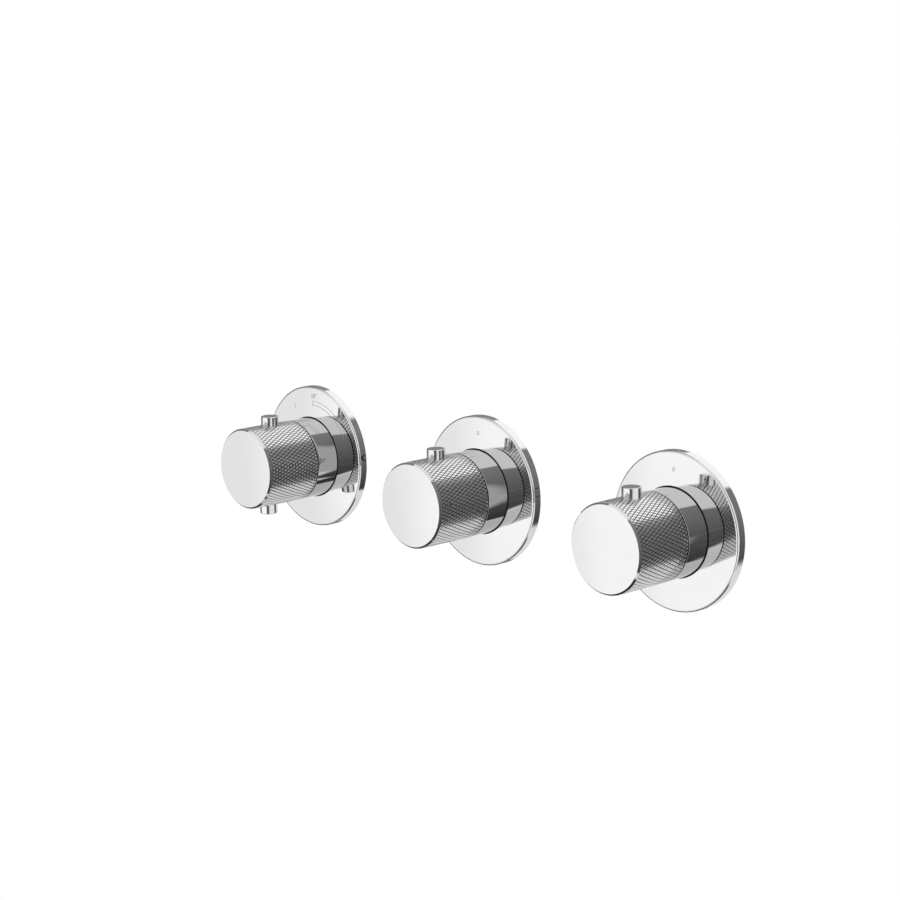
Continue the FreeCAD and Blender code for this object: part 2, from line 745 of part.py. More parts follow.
def main():
    os.makedirs("parts", exist_ok=True)
    valve_xs = (temp_x, *flow_xs)
    shell = knob_shell()
    inlet_xs = (temp_x - inlet_offset, temp_x + inlet_offset)
    pieces = {
        "mounting_rail": mounting_rail(),
        "rail_screws": rail_screws(),
        "thermo_body": thermo_body(),
        "link_tube_1": link_tube(temp_x),
        "link_tube_2": link_tube(flow_xs[0]),
        "gallery_plug": gallery_plug(),
        "body_seals": body_seals(),
        "inlet_filters": [inlet_filter(x) for x in inlet_xs],
        "check_valve_bodies": [check_valve_body(x) for x in inlet_xs],
        "hot_check_poppet": check_poppet(inlet_xs[0]),
        "hot_check_spring": check_spring(inlet_xs[0]),
        "cold_check_poppet": check_poppet(inlet_xs[1]),
        "cold_check_spring": check_spring(inlet_xs[1]),
        "thermo_housing": thermo_housing(),
        "thermo_base": thermo_base(),
        "thermo_nut": thermo_nut(),
        "stop_ring": stop_ring(),
        "thermo_spindle": thermo_spindle(),
        "setting_nut": setting_nut(),
        "overload_spring": overload_spring(),
        "overload_plunger": overload_plunger(),
        "wax_piston": wax_piston(),
        "wax_element": wax_element(),
        "shuttle": shuttle(),
        "shuttle_seal": shuttle_seal(),
        "return_spring": return_spring(),
        "temp_plate": wall_plate(temp_x),
        "temp_sleeve": temp_sleeve(),
        "temp_knob": temp_knob(shell),
        "temp_knob_cap": knob_cap(temp_x),
        "temp_knob_insert": temp_knob_insert(),
        "temp_knob_screw": knob_screw(temp_x),
        "lower_pin": grip_pin(temp_x, -1),
        "override_button": override_button(),
        "override_spring": override_spring(),
        "plate_seal_rings": [seal_ring(x) for x in valve_xs],
        "plate_gaskets": [plate_gasket(x) for x in valve_xs],
    }
    for number, x in enumerate(flow_xs, 1):
        makers = {
            "flow_body": flow_body, "flow_plate": wall_plate, "flow_sleeve": sleeve,
            "flow_knob_cap": knob_cap, "flow_knob_screw": knob_screw, "flow_housing": flow_housing,
            "flow_spindle": flow_spindle, "moving_disc": moving_disc, "fixed_disc": fixed_disc,
        }
        for name, maker in makers.items():
            pieces[f"{name}_{number}"] = maker(x)
        pieces[f"flow_knob_{number}"] = flow_knob(shell, x)
        pieces[f"flow_pin_{number}"] = grip_pin(x, 1)
    for name, shape in pieces.items():
        save(name, shape)
    print(len(pieces), "pieces")


main()
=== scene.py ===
import json
import math

import bmesh
import bpy
from mathutils import Matrix, Vector


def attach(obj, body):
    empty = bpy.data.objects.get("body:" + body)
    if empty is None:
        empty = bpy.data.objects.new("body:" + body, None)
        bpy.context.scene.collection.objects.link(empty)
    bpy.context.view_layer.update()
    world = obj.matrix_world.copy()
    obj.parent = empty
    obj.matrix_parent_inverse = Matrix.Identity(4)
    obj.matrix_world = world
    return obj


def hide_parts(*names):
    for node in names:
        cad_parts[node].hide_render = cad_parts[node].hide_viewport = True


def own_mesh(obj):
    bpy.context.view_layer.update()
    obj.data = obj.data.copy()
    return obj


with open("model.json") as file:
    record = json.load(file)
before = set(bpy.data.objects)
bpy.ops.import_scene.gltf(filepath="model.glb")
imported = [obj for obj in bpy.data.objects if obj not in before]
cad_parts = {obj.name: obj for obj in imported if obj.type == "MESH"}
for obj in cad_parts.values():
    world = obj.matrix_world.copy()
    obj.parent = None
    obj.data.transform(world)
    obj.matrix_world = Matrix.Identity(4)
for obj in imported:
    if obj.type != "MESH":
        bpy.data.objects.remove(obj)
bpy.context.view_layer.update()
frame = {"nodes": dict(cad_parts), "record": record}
nodes = frame["nodes"]
mm = 0.001
print("frame loaded,", len(nodes), "nodes")

# the three valves along the wall, and the shallow dome that their wall plates share (metres)
valves = dict(temp=-118.3 * mm, flow1=0.0, flow2=118.3 * mm)
plateShape = dict(crown=5.93 * mm, dome=430 * mm)


def plateFace(radius):
    # how far out of the wall a plate's front lies at some distance from its middle
    return radius * radius / (2 * plateShape["dome"]) - plateShape["crown"]


class Wire:
    # one shader socket; sums and products of wires add their Math nodes
    def __init__(self, paint, socket):
        self.paint = paint
        self.socket = socket

    def __add__(self, other):
        return self.paint.maths("ADD", self, other)

    def __radd__(self, other):
        return self.paint.maths("ADD", other, self)

    def __sub__(self, other):
        return self.paint.maths("SUBTRACT", self, other)

    def __rsub__(self, other):
        return self.paint.maths("SUBTRACT", other, self)

    def __mul__(self, other):
        return self.paint.maths("MULTIPLY", self, other)

    def __rmul__(self, other):
        return self.paint.maths("MULTIPLY", other, self)


class Paint:
    # node tree of one material or of the world
    def __init__(self, tree):
        self.tree = tree
        tree.nodes.clear()

    def node(self, kind, settings=None, sockets=None, out=0):
        made = self.tree.nodes.new("ShaderNode" + kind)
        for name, value in (settings or {}).items():
            setattr(made, name, value)
        for name, value in (sockets or {}).items():
            target = made.inputs[name]
            if isinstance(value, Wire):
                self.tree.links.new(value.socket, target)
            else:
                target.default_value = value
        return Wire(self, made.outputs[out]) if len(made.outputs) else None

    def maths(self, operation, a, b=0.0, c=None):
        sockets = {0: a, 1: b}
        if c is not None:
            sockets[2] = c
        return self.node("Math", dict(operation=operation), sockets)

    def clamp(self, value, low, high):
        # 0 to 1 between two values
        return self.node("MapRange", None, {"Value": value, "From Min": low, "From Max": high})

    def ease(self, value, low, high):
        # the same, slow at both ends; the values may fall
        settings = dict(interpolation_type="SMOOTHSTEP")
        return self.node("MapRange", settings, {"Value": value, "From Min": low, "From Max": high})

    def blend(self, factor, a, b):
        return self.node("Mix", dict(data_type="FLOAT"), {0: factor, 2: a, 3: b})

    def mixColour(self, factor, a, b):
        return self.node("Mix", dict(data_type="RGBA"), {0: factor, 6: a, 7: b}, out=2)

    def place(self):
        return self.node("TexCoord", out="Object")

    def stretched(self, scale):
        return self.node("Mapping", None, {"Vector": self.place(), "Scale": scale})

    def noise(self, scale, detail, roughness, where=None):
        sockets = {"Vector": where or self.place(), "Scale": scale, "Detail": detail, "Roughness": roughness}
        return self.node("TexNoise", None, sockets)

    def patches(self, noise, span):
        # 0 where a noise is below its span, 1 where it is above
        return self.clamp(self.noise(*noise), *span)

    def bump(self, height, strength, distance):
        return self.node("Bump", None, {"Height": height, "Strength": strength, "Distance": distance})


def newMaterial(name):
    made = bpy.data.materials.new(name)
    made.use_nodes = True
    return made, Paint(made.node_tree)


def newFinish(name, build):
    made, paint = newMaterial(name)
    paint.node("OutputMaterial", None, {"Surface": paint.node("BsdfPrincipled", None, build(paint))})
    return made


def rgb(r, g, b):
    return (r, g, b, 1)


# in each look: a noise is (scale, detail, roughness), its span is the part of it that shows as patches, and a
# bump is (strength, distance)
chromeLook = dict(
    bright=rgb(0.74, 0.742, 0.748), dull=rgb(0.725, 0.728, 0.735), haze=(70, 4, 0.6), hazeSpan=(0.42, 0.72),
    polish=0.03, hazeRough=0.025, ripple=(160, 2, 0.5), bump=(0.006, 0.0002),
)


def chromeSkin(paint):
    # polished plating: faint hand haze and a very slight ripple from the polishing wheel
    look = chromeLook
    haze = paint.patches(look["haze"], look["hazeSpan"])
    return {
        "Base Color": paint.mixColour(haze, look["bright"], look["dull"]),
        "Roughness": haze * look["hazeRough"] + look["polish"],
        "Metallic": 1.0,
        "Normal": paint.bump(paint.noise(*look["ripple"]), *look["bump"]),
    }


# near-black base colour that paints shade into the knurl's grooves
knurlLookWithPaintedShade = dict(groove=rgb(0.02, 0.02, 0.022), grooveRough=0.35)


def knurlSkinWithPaintedShade(paint):
    # same plating; painted shade turns the cut grooves and the neck behind the knurl near black, over a
    # duller floor
    parts = chromeSkin(paint)
    # how much painted groove shade each point carries
    depth = paint.node("Attribute", dict(attribute_name="groove"), out="Fac")
    parts["Base Color"] = paint.mixColour(depth, parts["Base Color"], knurlLookWithPaintedShade["groove"])
    parts["Roughness"] = parts["Roughness"] + depth * knurlLookWithPaintedShade["grooveRough"]
    return parts


rubberLook = dict(
    clean=rgb(0.006, 0.006, 0.007), dusty=rgb(0.012, 0.012, 0.013), dust=(260, 4, 0.6), dustSpan=(0.5, 0.8),
    rough=0.55, dustRough=0.2, shine=0.15, grain=(3200, 3, 0.6), bump=(0.3, 0.0001),
)


def rubberSkin(paint):
    look = rubberLook
    dust = paint.patches(look["dust"], look["dustSpan"])
    return {
        "Base Color": paint.mixColour(dust, look["clean"], look["dusty"]),
        "Roughness": dust * look["dustRough"] + look["rough"],
        "Specular IOR Level": look["shine"],
        "Normal": paint.bump(paint.noise(*look["grain"]), *look["bump"]),
    }


foamLook = dict(
    dark=rgb(0.16, 0.165, 0.17), pale=rgb(0.25, 0.255, 0.26), wear=(300, 3, 0.5), rough=0.92, cells=1400.0,
    bump=(0.7, 0.0004),
)


def foamSkin(paint):
    look = foamLook
    cells = paint.node("TexVoronoi", None, {"Vector": paint.place(), "Scale": look["cells"]})
    return {
        "Base Color": paint.mixColour(paint.noise(*look["wear"]), look["dark"], look["pale"]),
        "Roughness": look["rough"],
        "Normal": paint.bump(cells, *look["bump"]),
    }


forgedLook = dict(
    clean=rgb(0.66, 0.47, 0.22), crusted=rgb(0.50, 0.34, 0.15), crust=(120, 5, 0.62), crustSpan=(0.4, 0.7),
    rough=0.36, crustRough=0.18, grain=(2600, 5, 0.65), bump=(0.55, 0.0003),
)


def forgedSkin(paint):
    # shot-blasted forging: grainy, with patches of darker crust
    look = forgedLook
    crust = paint.patches(look["crust"], look["crustSpan"])
    return {
        "Base Color": paint.mixColour(crust, look["clean"], look["crusted"]),
        "Roughness": crust * look["crustRough"] + look["rough"],
        "Metallic": 1.0,
        "Normal": paint.bump(paint.noise(*look["grain"]), *look["bump"]),
    }


turnedLook = dict(
    bright=rgb(0.78, 0.60, 0.30), stained=rgb(0.66, 0.47, 0.22), stain=(160, 4, 0.6), stainSpan=(0.45, 0.75),
    rough=0.16, ringRough=0.15, rings=(1, 2, 0.5), stretch=(30, 9000, 30), bump=(0.25, 0.0001),
)


def turnedBrassSkin(paint):
    # lathe work: fine rings across the valve's axis
    look = turnedLook
    rings = paint.noise(*look["rings"], paint.stretched(look["stretch"]))
    stain = paint.patches(look["stain"], look["stainSpan"])
    return {
        "Base Color": paint.mixColour(stain, look["bright"], look["stained"]),
        "Roughness": rings * look["ringRough"] + look["rough"],
        "Metallic": 1.0,
        "Normal": paint.bump(rings, *look["bump"]),
    }


copperLook = dict(
    bright=rgb(0.82, 0.45, 0.30), stained=rgb(0.60, 0.28, 0.18), stain=(220, 4, 0.6), stainSpan=(0.4, 0.7),
    rough=0.2, stainRough=0.2, grain=(900, 3, 0.5), bump=(0.1, 0.0001),
)


def copperSkin(paint):
    look = copperLook
    stain = paint.patches(look["stain"], look["stainSpan"])
    return {
        "Base Color": paint.mixColour(stain, look["bright"], look["stained"]),
        "Roughness": stain * look["stainRough"] + look["rough"],
        "Metallic": 1.0,
        "Normal": paint.bump(paint.noise(*look["grain"]), *look["bump"]),
    }


zincLook = dict(
    bright=rgb(0.62, 0.64, 0.66), dull=rgb(0.50, 0.53, 0.57), cloud=(70, 5, 0.65), cloudSpan=(0.35, 0.7),
    rough=0.26, cloudRough=0.14, grain=(1, 3, 0.6), stretch=(90, 2600, 2600), bump=(0.18, 0.0001),
)


def zincSkin(paint):
    # bright zinc plating on sheet: cloudy patches and a fine rolling grain
    look = zincLook
    cloud = paint.patches(look["cloud"], look["cloudSpan"])
    grain = paint.noise(*look["grain"], paint.stretched(look["stretch"]))
    return {
        "Base Color": paint.mixColour(cloud, look["bright"], look["dull"]),
        "Roughness": cloud * look["cloudRough"] + look["rough"],
        "Metallic": 1.0,
        "Normal": paint.bump(grain, *look["bump"]),
    }


stainlessLook = dict(
    bright=rgb(0.60, 0.59, 0.57), dull=rgb(0.52, 0.51, 0.50), grain=(1800, 3, 0.6), rough=0.2,
    grainRough=0.12, bump=(0.1, 0.00005),
)


def stainlessSkin(paint):
    look = stainlessLook
    grain = paint.noise(*look["grain"])
    return {
        "Base Color": paint.mixColour(grain, look["bright"], look["dull"]),
        "Roughness": grain * look["grainRough"] + look["rough"],
        "Metallic": 1.0,
        "Normal": paint.bump(grain, *look["bump"]),
    }


acetalLook = dict(
    pale=rgb(0.80, 0.80, 0.77), dull=rgb(0.74, 0.74, 0.70), mottle=(500, 3, 0.6), rough=0.36, mottleRough=0.1,
    grain=(2400, 2, 0.5), bump=(0.08, 0.0001),
)


def acetalSkin(paint):
    look = acetalLook
    mottle = paint.noise(*look["mottle"])
    return {
        "Base Color": paint.mixColour(mottle, look["pale"], look["dull"]),
        "Roughness": mottle * look["mottleRough"] + look["rough"],
        "Normal": paint.bump(paint.noise(*look["grain"]), *look["bump"]),
    }


ceramicLook = dict(
    pale=rgb(0.84, 0.83, 0.80), dull=rgb(0.78, 0.77, 0.74), mottle=(700, 4, 0.6), rough=0.1, mottleRough=0.08,
    glaze=0.2, bump=(0.03, 0.00005),
)


def ceramicSkin(paint):
    look = ceramicLook
    mottle = paint.noise(*look["mottle"])
    return {
        "Base Color": paint.mixColour(mottle, look["pale"], look["dull"]),
        "Roughness": mottle * look["mottleRough"] + look["rough"],
        "Coat Weight": mottle * look["glaze"],
        "Normal": paint.bump(mottle, *look["bump"]),
    }


markLook = dict(
    dark=rgb(0.30, 0.30, 0.305), pale=rgb(0.38, 0.38, 0.39), patch=(2500, 3, 0.6), rough=0.45,
    patchRough=0.15, metal=0.3,
)


def markSkin(paint):
    # laser-darkened plating inside the dial marks
    look = markLook
    patch = paint.noise(*look["patch"])
    return {
        "Base Color": paint.mixColour(patch, look["dark"], look["pale"]),
        "Roughness": patch * look["patchRough"] + look["rough"],
        "Metallic": look["metal"],
    }


finishes = {
    "trim_chrome": newFinish("trimChrome", chromeSkin),
    "pin_chrome": newFinish("pinChrome", chromeSkin),
    "knob_chrome": newFinish("knobChrome", chromeSkin),
    "black_rubber": newFinish("blackRubber", rubberSkin),
    "grey_foam": newFinish("greyFoam", foamSkin),
    "forged_brass": newFinish("forgedBrass", forgedSkin),
    "machined_brass": newFinish("machinedBrass", turnedBrassSkin),
    "copper": newFinish("copper", copperSkin),
    "zinc_steel": newFinish("zincSteel", zincSkin),
    "stainless": newFinish("stainless", stainlessSkin),
    "white_acetal": newFinish("whiteAcetal", acetalSkin),
    "ceramic": newFinish("ceramic", ceramicSkin),
}
# knurled chrome with painted shade in its grooves
knurlFinishWithPaintedShade = newFinish("knurledChromePaintedShade", knurlSkinWithPaintedShade)
markFinish = newFinish("dialMark", markSkin)

nodeSlots = {part["node"]: part["material_slot"] for part in frame["record"]["subparts"]}
for name, piece in nodes.items():
    piece.data.materials.clear()
    piece.data.materials.append(finishes[nodeSlots[name]])
print("finishes on", len(nodes), "nodes")


def linked(name, mesh, finish, body, stands=()):
    piece = bpy.data.objects.new(name, mesh)
    bpy.context.scene.collection.objects.link(piece)
    mesh.materials.append(finish)
    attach(piece, body)
    if stands:
        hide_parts(*stands)
    return piece


def ringPoint(x, y, radius, i, steps):
    # one of the even steps round a valve's axis, from the top
    turn = 2 * math.pi * i / steps
    return (x + radius * math.sin(turn), y, radius * math.cos(turn))


def bridge(work, here, after):
    # band of faces between two closed rows of points
    for i in range(len(here)):
        k = (i + 1) % len(here)
        work.faces.new((here[i], here[k], after[k], after[i]))


def addTube(work, rows):
    # closed rows in a line, with a cap at each end
    for here, after in zip(rows, rows[1:]):
        bridge(work, here, after)
    work.faces.new(rows[0][::-1])
    work.faces.new(rows[-1])


def addLathe(work, profile, x, steps):
    # closed profile of (radius, y) turned about a valve's axis
    rows = [
        [work.verts.new(ringPoint(x, y, radius, i, steps)) for i in range(steps)] for radius, y in profile
    ]
    for here, after in zip(rows, rows[1:] + rows[:1]):
        bridge(work, here, after)


def finished(work, name, crease=None):
    # with a crease, in degrees, every edge that bends less is shaded smooth
    bmesh.ops.recalc_face_normals(work, faces=work.faces)
    if crease:
        for face in work.faces:
            face.smooth = True
        for edge in work.edges:
            edge.smooth = edge.calc_face_angle(math.pi) < math.radians(crease)
    mesh = bpy.data.meshes.new(name)
    work.to_mesh(mesh)
    work.free()
    return mesh


wholeTurn = 180  # the crease that leaves no edge sharp

# shades: painted groove shade by steps from a groove's middle, beside the cuts
grip = dict(
    radius=19.7 * mm, bore=17.0 * mm, front=-46.8 * mm, rear=-18.0 * mm, cutFront=-46.77 * mm,
    cutRear=-18.35 * mm, starts=70, across=10, rows=80, cuts=(0.30 * mm, 0.03 * mm), shades=(1.0, 0.4),
    neck=0.35 * mm, neckStep=0.03 * mm, crease=22.0,
)
hubShape = dict(
    boss=9.5 * mm, screwBore=2.1 * mm, recess=4.2 * mm, front=-37 * mm, seat=-30 * mm, rear=-10 * mm,
    webFront=-28 * mm, webRear=-24 * mm, shaftBore=3.7 * mm, shaftRoom=-22 * mm, frontBevel=0.6 * mm,
    rearBevel=0.4 * mm, steps=72,
)


def toGroove(steps):
    # steps round the grip to the nearest groove of one hand
    return min(steps % grip["across"], -steps % grip["across"])


def knurlMesh(x):
    work = bmesh.new()
    # painted groove shade at each point: 1 in a groove's middle
    shade = work.verts.layers.float.new("groove")
    rows, columns = grip["rows"], grip["starts"] * grip["across"]

    def addPoint(i, y, radius, dark):
        vert = work.verts.new(ringPoint(x, y, radius, i, columns))
        vert[shade] = dark
        return vert

    grid = []
    for j in range(rows + 1):
        y = grip["cutFront"] + (grip["cutRear"] - grip["cutFront"]) * j / rows
        line = []
        for i in range(columns):
            away = min(toGroove(i + j), toGroove(i - j))
            cut, dark = (grip["cuts"][away], grip["shades"][away]) if away < len(grip["cuts"]) else (0, 0)
            line.append(addPoint(i, y, grip["radius"] - cut, dark))
        grid.append(line)
    for j in range(rows):
        for i in range(columns):
            k = (i + 1) % columns
            a, b, c, d = grid[j][i], grid[j][k], grid[j + 1][k], grid[j + 1][i]
            # the diagonal that runs with the nearer groove
            if toGroove(i + j + 1) < toGroove(i - j):
                work.faces.new((a, b, d))
                work.faces.new((b, c, d))
            else:
                work.faces.new((a, b, c))
                work.faces.new((a, c, d))
    # undercut neck behind the knurl, the bore inside and the front edge; the neck and the rear of the bore
    # carry full painted shade
    neck = grip["radius"] - grip["neck"]
    last = grid[-1]
    for radius, y in (
        (neck, grip["cutRear"] + grip["neckStep"]), (neck, grip["rear"]), (grip["bore"], grip["rear"]),
        (grip["bore"], grip["front"]), (neck, grip["front"]),
    ):
        line = [addPoint(i, y, radius, float(y > grip["cutRear"])) for i in range(columns)]
        bridge(work, last, line)
        last = line
    bridge(work, last, grid[0])
    return finished(work, "knurl", grip["crease"])


def addHub(piece, x):
    # splined boss on its web, one piece with the flow grips
    s = hubShape
    work = bmesh.new()
    addLathe(work, [
        (s["screwBore"], s["seat"]), (s["recess"], s["seat"]), (s["recess"], s["front"]),
        (s["boss"] - s["frontBevel"], s["front"]), (s["boss"], s["front"] + s["frontBevel"]),
        (s["boss"], s["webFront"]), (grip["bore"], s["webFront"]), (grip["bore"], s["webRear"]),
        (s["boss"], s["webRear"]), (s["boss"], s["rear"] - s["rearBevel"]),
        (s["boss"] - s["rearBevel"], s["rear"]), (s["shaftBore"], s["rear"]),
        (s["shaftBore"], s["shaftRoom"]), (s["screwBore"], s["shaftRoom"]),
    ], x, s["steps"])
    bmesh.ops.recalc_face_normals(work, faces=work.faces)
    work.from_mesh(piece.data)
    work.to_mesh(piece.data)
    work.free()


# heights of the pins along the grip, and the holes that they stand in
pinHoles = dict(
    top=-31.6 * mm, under=-33.7 * mm, loose=4.28 * mm, tight=4.2 * mm, start=15 * mm, end=20.5 * mm, sides=64,
)


def drill(piece, x, side, y, radius):
    low, high = sorted((side * pinHoles["start"], side * pinHoles["end"]))
    work = bmesh.new()
    bmesh.ops.create_cone(
        work, cap_ends=True, segments=pinHoles["sides"], radius1=radius, radius2=radius,
        depth=high - low, matrix=Matrix.Translation((x, y, (low + high) / 2)),
    )
    tool = bpy.data.objects.new("drill", finished(work, "drill"))
    bpy.context.scene.collection.objects.link(tool)
    cut = piece.modifiers.new("hole", "BOOLEAN")
    cut.operation, cut.object, cut.solver = "DIFFERENCE", tool, "EXACT"
    bpy.context.view_layer.update()
    seen = piece.evaluated_get(bpy.context.evaluated_depsgraph_get())
    done = bpy.data.meshes.new_from_object(seen)
    piece.modifiers.clear()
    piece.data = done
    bpy.data.objects.remove(tool)


# the hub joins a grip after the drilling: the exact cut fails on the two together
for name, valve, body, node, holes in (
    ("gripTemp", "temp", "temp_handle", "temp_knob", ((1, "top", "loose"), (-1, "under", "tight"))),
    ("gripFlow1", "flow1", "flow_handle_1", "flow_knob_1", ((1, "top", "tight"),)),
    ("gripFlow2", "flow2", "flow_handle_2", "flow_knob_2", ((1, "top", "tight"),)),
):
    x = valves[valve]
    piece = linked(name, knurlMesh(x), knurlFinishWithPaintedShade, body, [node])
    for side, spot, fit in holes:
        drill(piece, x, side, pinHoles[spot], pinHoles[fit])
    if valve != "temp":
        addHub(piece, x)
    print(name, len(piece.data.polygons), "faces")


# black rings that paint the shade in the gap between each sleeve and its grip
gapShadeRing = dict(
    inner=18.2 * mm, outer=19.62 * mm, front=-17.92 * mm, rear=-17.55 * mm, bevel=0.08 * mm, steps=128,
)

for name, valve in (("slipRingTemp", "temp"), ("slipRingFlow1", "flow1"), ("slipRingFlow2", "flow2")):
    # thin black ring in the gap between sleeve and grip: a dark piece that paints the shade of that gap
    work = bmesh.new()
    addLathe(work, [
        (gapShadeRing["inner"], gapShadeRing["front"]), (gapShadeRing["outer"] - gapShadeRing["bevel"], gapShadeRing["front"]),
        (gapShadeRing["outer"], gapShadeRing["front"] + gapShadeRing["bevel"]), (gapShadeRing["outer"], gapShadeRing["rear"]),
        (gapShadeRing["inner"], gapShadeRing["rear"]),
    ], valves[valve], gapShadeRing["steps"])
    linked(name, finished(work, name), finishes["black_rubber"], "valve_set")
print("gap shade rings done")


# ridge: half its width at the root and at the crest, as shares of the pitch
threads = dict(
    root=9.35 * mm, depth=0.6 * mm, pitch=1.814 * mm, inset=0.9 * mm, ridge=(0.42, 0.06), turns=6, steps=56,
    fade=28,
)
# pipe mouths: place along the wall, depth, height of the open end, way in
inlets = dict(spread=14.5 * mm, depth=36.8 * mm, mouth=-54.0 * mm)
outlets = dict(depth=31.0 * mm, mouth=44.0 * mm)
hotInlet, coldInlet = valves["temp"] - inlets["spread"], valves["temp"] + inlets["spread"]
mouths = (
    (hotInlet, inlets["depth"], inlets["mouth"], 1), (coldInlet, inlets["depth"], inlets["mouth"], 1),
    (valves["flow1"], outlets["depth"], outlets["mouth"], -1),
    (valves["flow2"], outlets["depth"], outlets["mouth"], -1),
)


def threadMesh(x, y, mouth, inward):
    # one helical ridge that grows out of the bore and dies away at its inner end
    t = threads
    wide, slim = t["ridge"]
    count = t["turns"] * t["steps"]
    work = bmesh.new()
    rows = []
    for k in range(count + 1):
        turn = 2 * math.pi * k / t["steps"]
        z = mouth + inward * (t["inset"] + t["pitch"] * k / t["steps"])
        crest = t["root"] - t["depth"] * min(1, k / t["fade"], (count - k) / t["fade"])
        rows.append([
            work.verts.new((x + radius * math.cos(turn), y + radius * math.sin(turn), z + along * t["pitch"]))
            for radius, along in ((t["root"], -wide), (crest, -slim), (crest, slim), (t["root"], wide))
        ])
    addTube(work, rows)
    return finished(work, "thread", wholeTurn)


# lines and figures of the dials; ticks are (inner radius, outer radius, degrees right of the top)
marks = dict(
    thick=0.05 * mm, line=0.2 * mm, slim=-0.03 * mm, curve=4, figureSize=3.4 * mm, figureRadius=30.4 * mm,
    figureShift=1.8 * mm, zeroRadius=27.1 * mm, zeroSize=2.9 * mm, zeroWidth=1.2,
    ticks=((25.6 * mm, 27.8 * mm, 2.0), (25.4 * mm, 28.4 * mm, -27.0)),
    arcs=((26.2 * mm, 26.9 * mm), (28.2 * mm, 28.9 * mm)), arcTurn=(2.0, 64.0), arcSteps=30,
)


def figureMesh(text, size, width, shift, radius, x):
    # figures stand upright on the plate above the valve's axis
    curve = bpy.data.curves.new("figure", "FONT")
    curve.body, curve.size, curve.align_x, curve.align_y = text, size, "CENTER", "CENTER"
    curve.extrude, curve.offset, curve.resolution_u = marks["thick"] / 2, marks["slim"], marks["curve"]
    holder = bpy.data.objects.new("figure", curve)
    bpy.context.scene.collection.objects.link(holder)
    bpy.context.view_layer.update()
    mesh = bpy.data.meshes.new_from_object(holder.evaluated_get(bpy.context.evaluated_depsgraph_get()))
    bpy.data.objects.remove(holder)
    for vert in mesh.vertices:
        across, high, deep = vert.co.x * width + shift, vert.co.y + radius, vert.co.z
        vert.co = (x + across, plateFace(math.hypot(across, high)) - deep, high)
    return mesh


def lineMesh(x, outline):
    # a thin raised line along (radius, clock angle) points
    work = bmesh.new()
    half, deep = marks["line"] / 2, marks["thick"] / 2
    spots = []
    for radius, clock in outline:
        turn = math.radians(clock)
        spots.append(Vector((x + radius * math.sin(turn), plateFace(radius), radius * math.cos(turn))))
    rows = []
    for i, spot in enumerate(spots):
        run = (spots[min(i + 1, len(spots) - 1)] - spots[max(i - 1, 0)]).normalized()
        side = Vector((run.z, 0, -run.x)).normalized() * half
        rows.append([
            work.verts.new(spot + side * s + Vector((0, d * deep, 0)))
            for s, d in ((1, -1), (-1, -1), (-1, 1), (1, 1))
        ])
    addTube(work, rows)
    return finished(work, "line")


def joined(meshes):
    work = bmesh.new()
    for mesh in meshes:
        work.from_mesh(mesh)
    whole = bpy.data.meshes.new("marks")
    work.to_mesh(whole)
    work.free()
    return whole


def arcLine(inner, outer):
    # a dial arc whose radius grows a little as it runs to the right
    start, end = marks["arcTurn"]
    shares = [i / marks["arcSteps"] for i in range(marks["arcSteps"] + 1)]
    return [(inner + (outer - inner) * share, start + (end - start) * share) for share in shares]


tempMarks = [
    figureMesh("38°", marks["figureSize"], 1.0, marks["figureShift"], marks["figureRadius"], valves["temp"])
]
for inner, outer, clock in marks["ticks"]:
    tempMarks.append(lineMesh(valves["temp"], [(inner, clock), (outer, clock)]))
tempMarks += [lineMesh(valves["temp"], arcLine(*radii)) for radii in marks["arcs"]]
linked("dialTemp", joined(tempMarks), markFinish, "valve_set")
for name, valve in (("dialFlow1", "flow1"), ("dialFlow2", "flow2")):
    zero = figureMesh("0", marks["zeroSize"], marks["zeroWidth"], 0.0, marks["zeroRadius"], valves[valve])
    linked(name, zero, markFinish, "valve_set")
print("dial marks done")

pipeThreads = linked(
    "pipeThreads", joined([threadMesh(*mouth) for mouth in mouths]), finishes["machined_brass"], "valve_set",
)
print("pipe threads done")


# each spring runs from its foot along its reach, and its joint presses it together to the share that it keeps
checkCoil = dict(reach=(0, 0, 6.1 * mm), radius=2.2 * mm, wire=0.25 * mm, turns=6, keep=0.5)
checkFoot = -34.6 * mm
springs = (
    dict(node="return_spring", body="mixing_shuttle", joint="shuttle_slide",
         foot=(valves["temp"], 38 * mm, 0), reach=(0, 20 * mm, 0), radius=6.4 * mm, wire=0.55 * mm, turns=8,
         keep=0.965),
    dict(checkCoil, node="hot_check_spring", body="hot_check", joint="hot_check_slide",
         foot=(hotInlet, inlets["depth"], checkFoot)),
    dict(checkCoil, node="cold_check_spring", body="cold_check", joint="cold_check_slide",
         foot=(coldInlet, inlets["depth"], checkFoot)),
    dict(node="override_spring", body="temp_handle", joint="override_press",
         foot=(valves["temp"], pinHoles["top"], 8 * mm), reach=(0, 0, 5.4 * mm), radius=3.25 * mm,
         wire=0.28 * mm, turns=4, keep=0.44),
)
# steps in one turn of the coil and round the wire, and how far the end turns rise, in wire radii
springSteps = dict(wound=28, wire=8, closed=2.1)


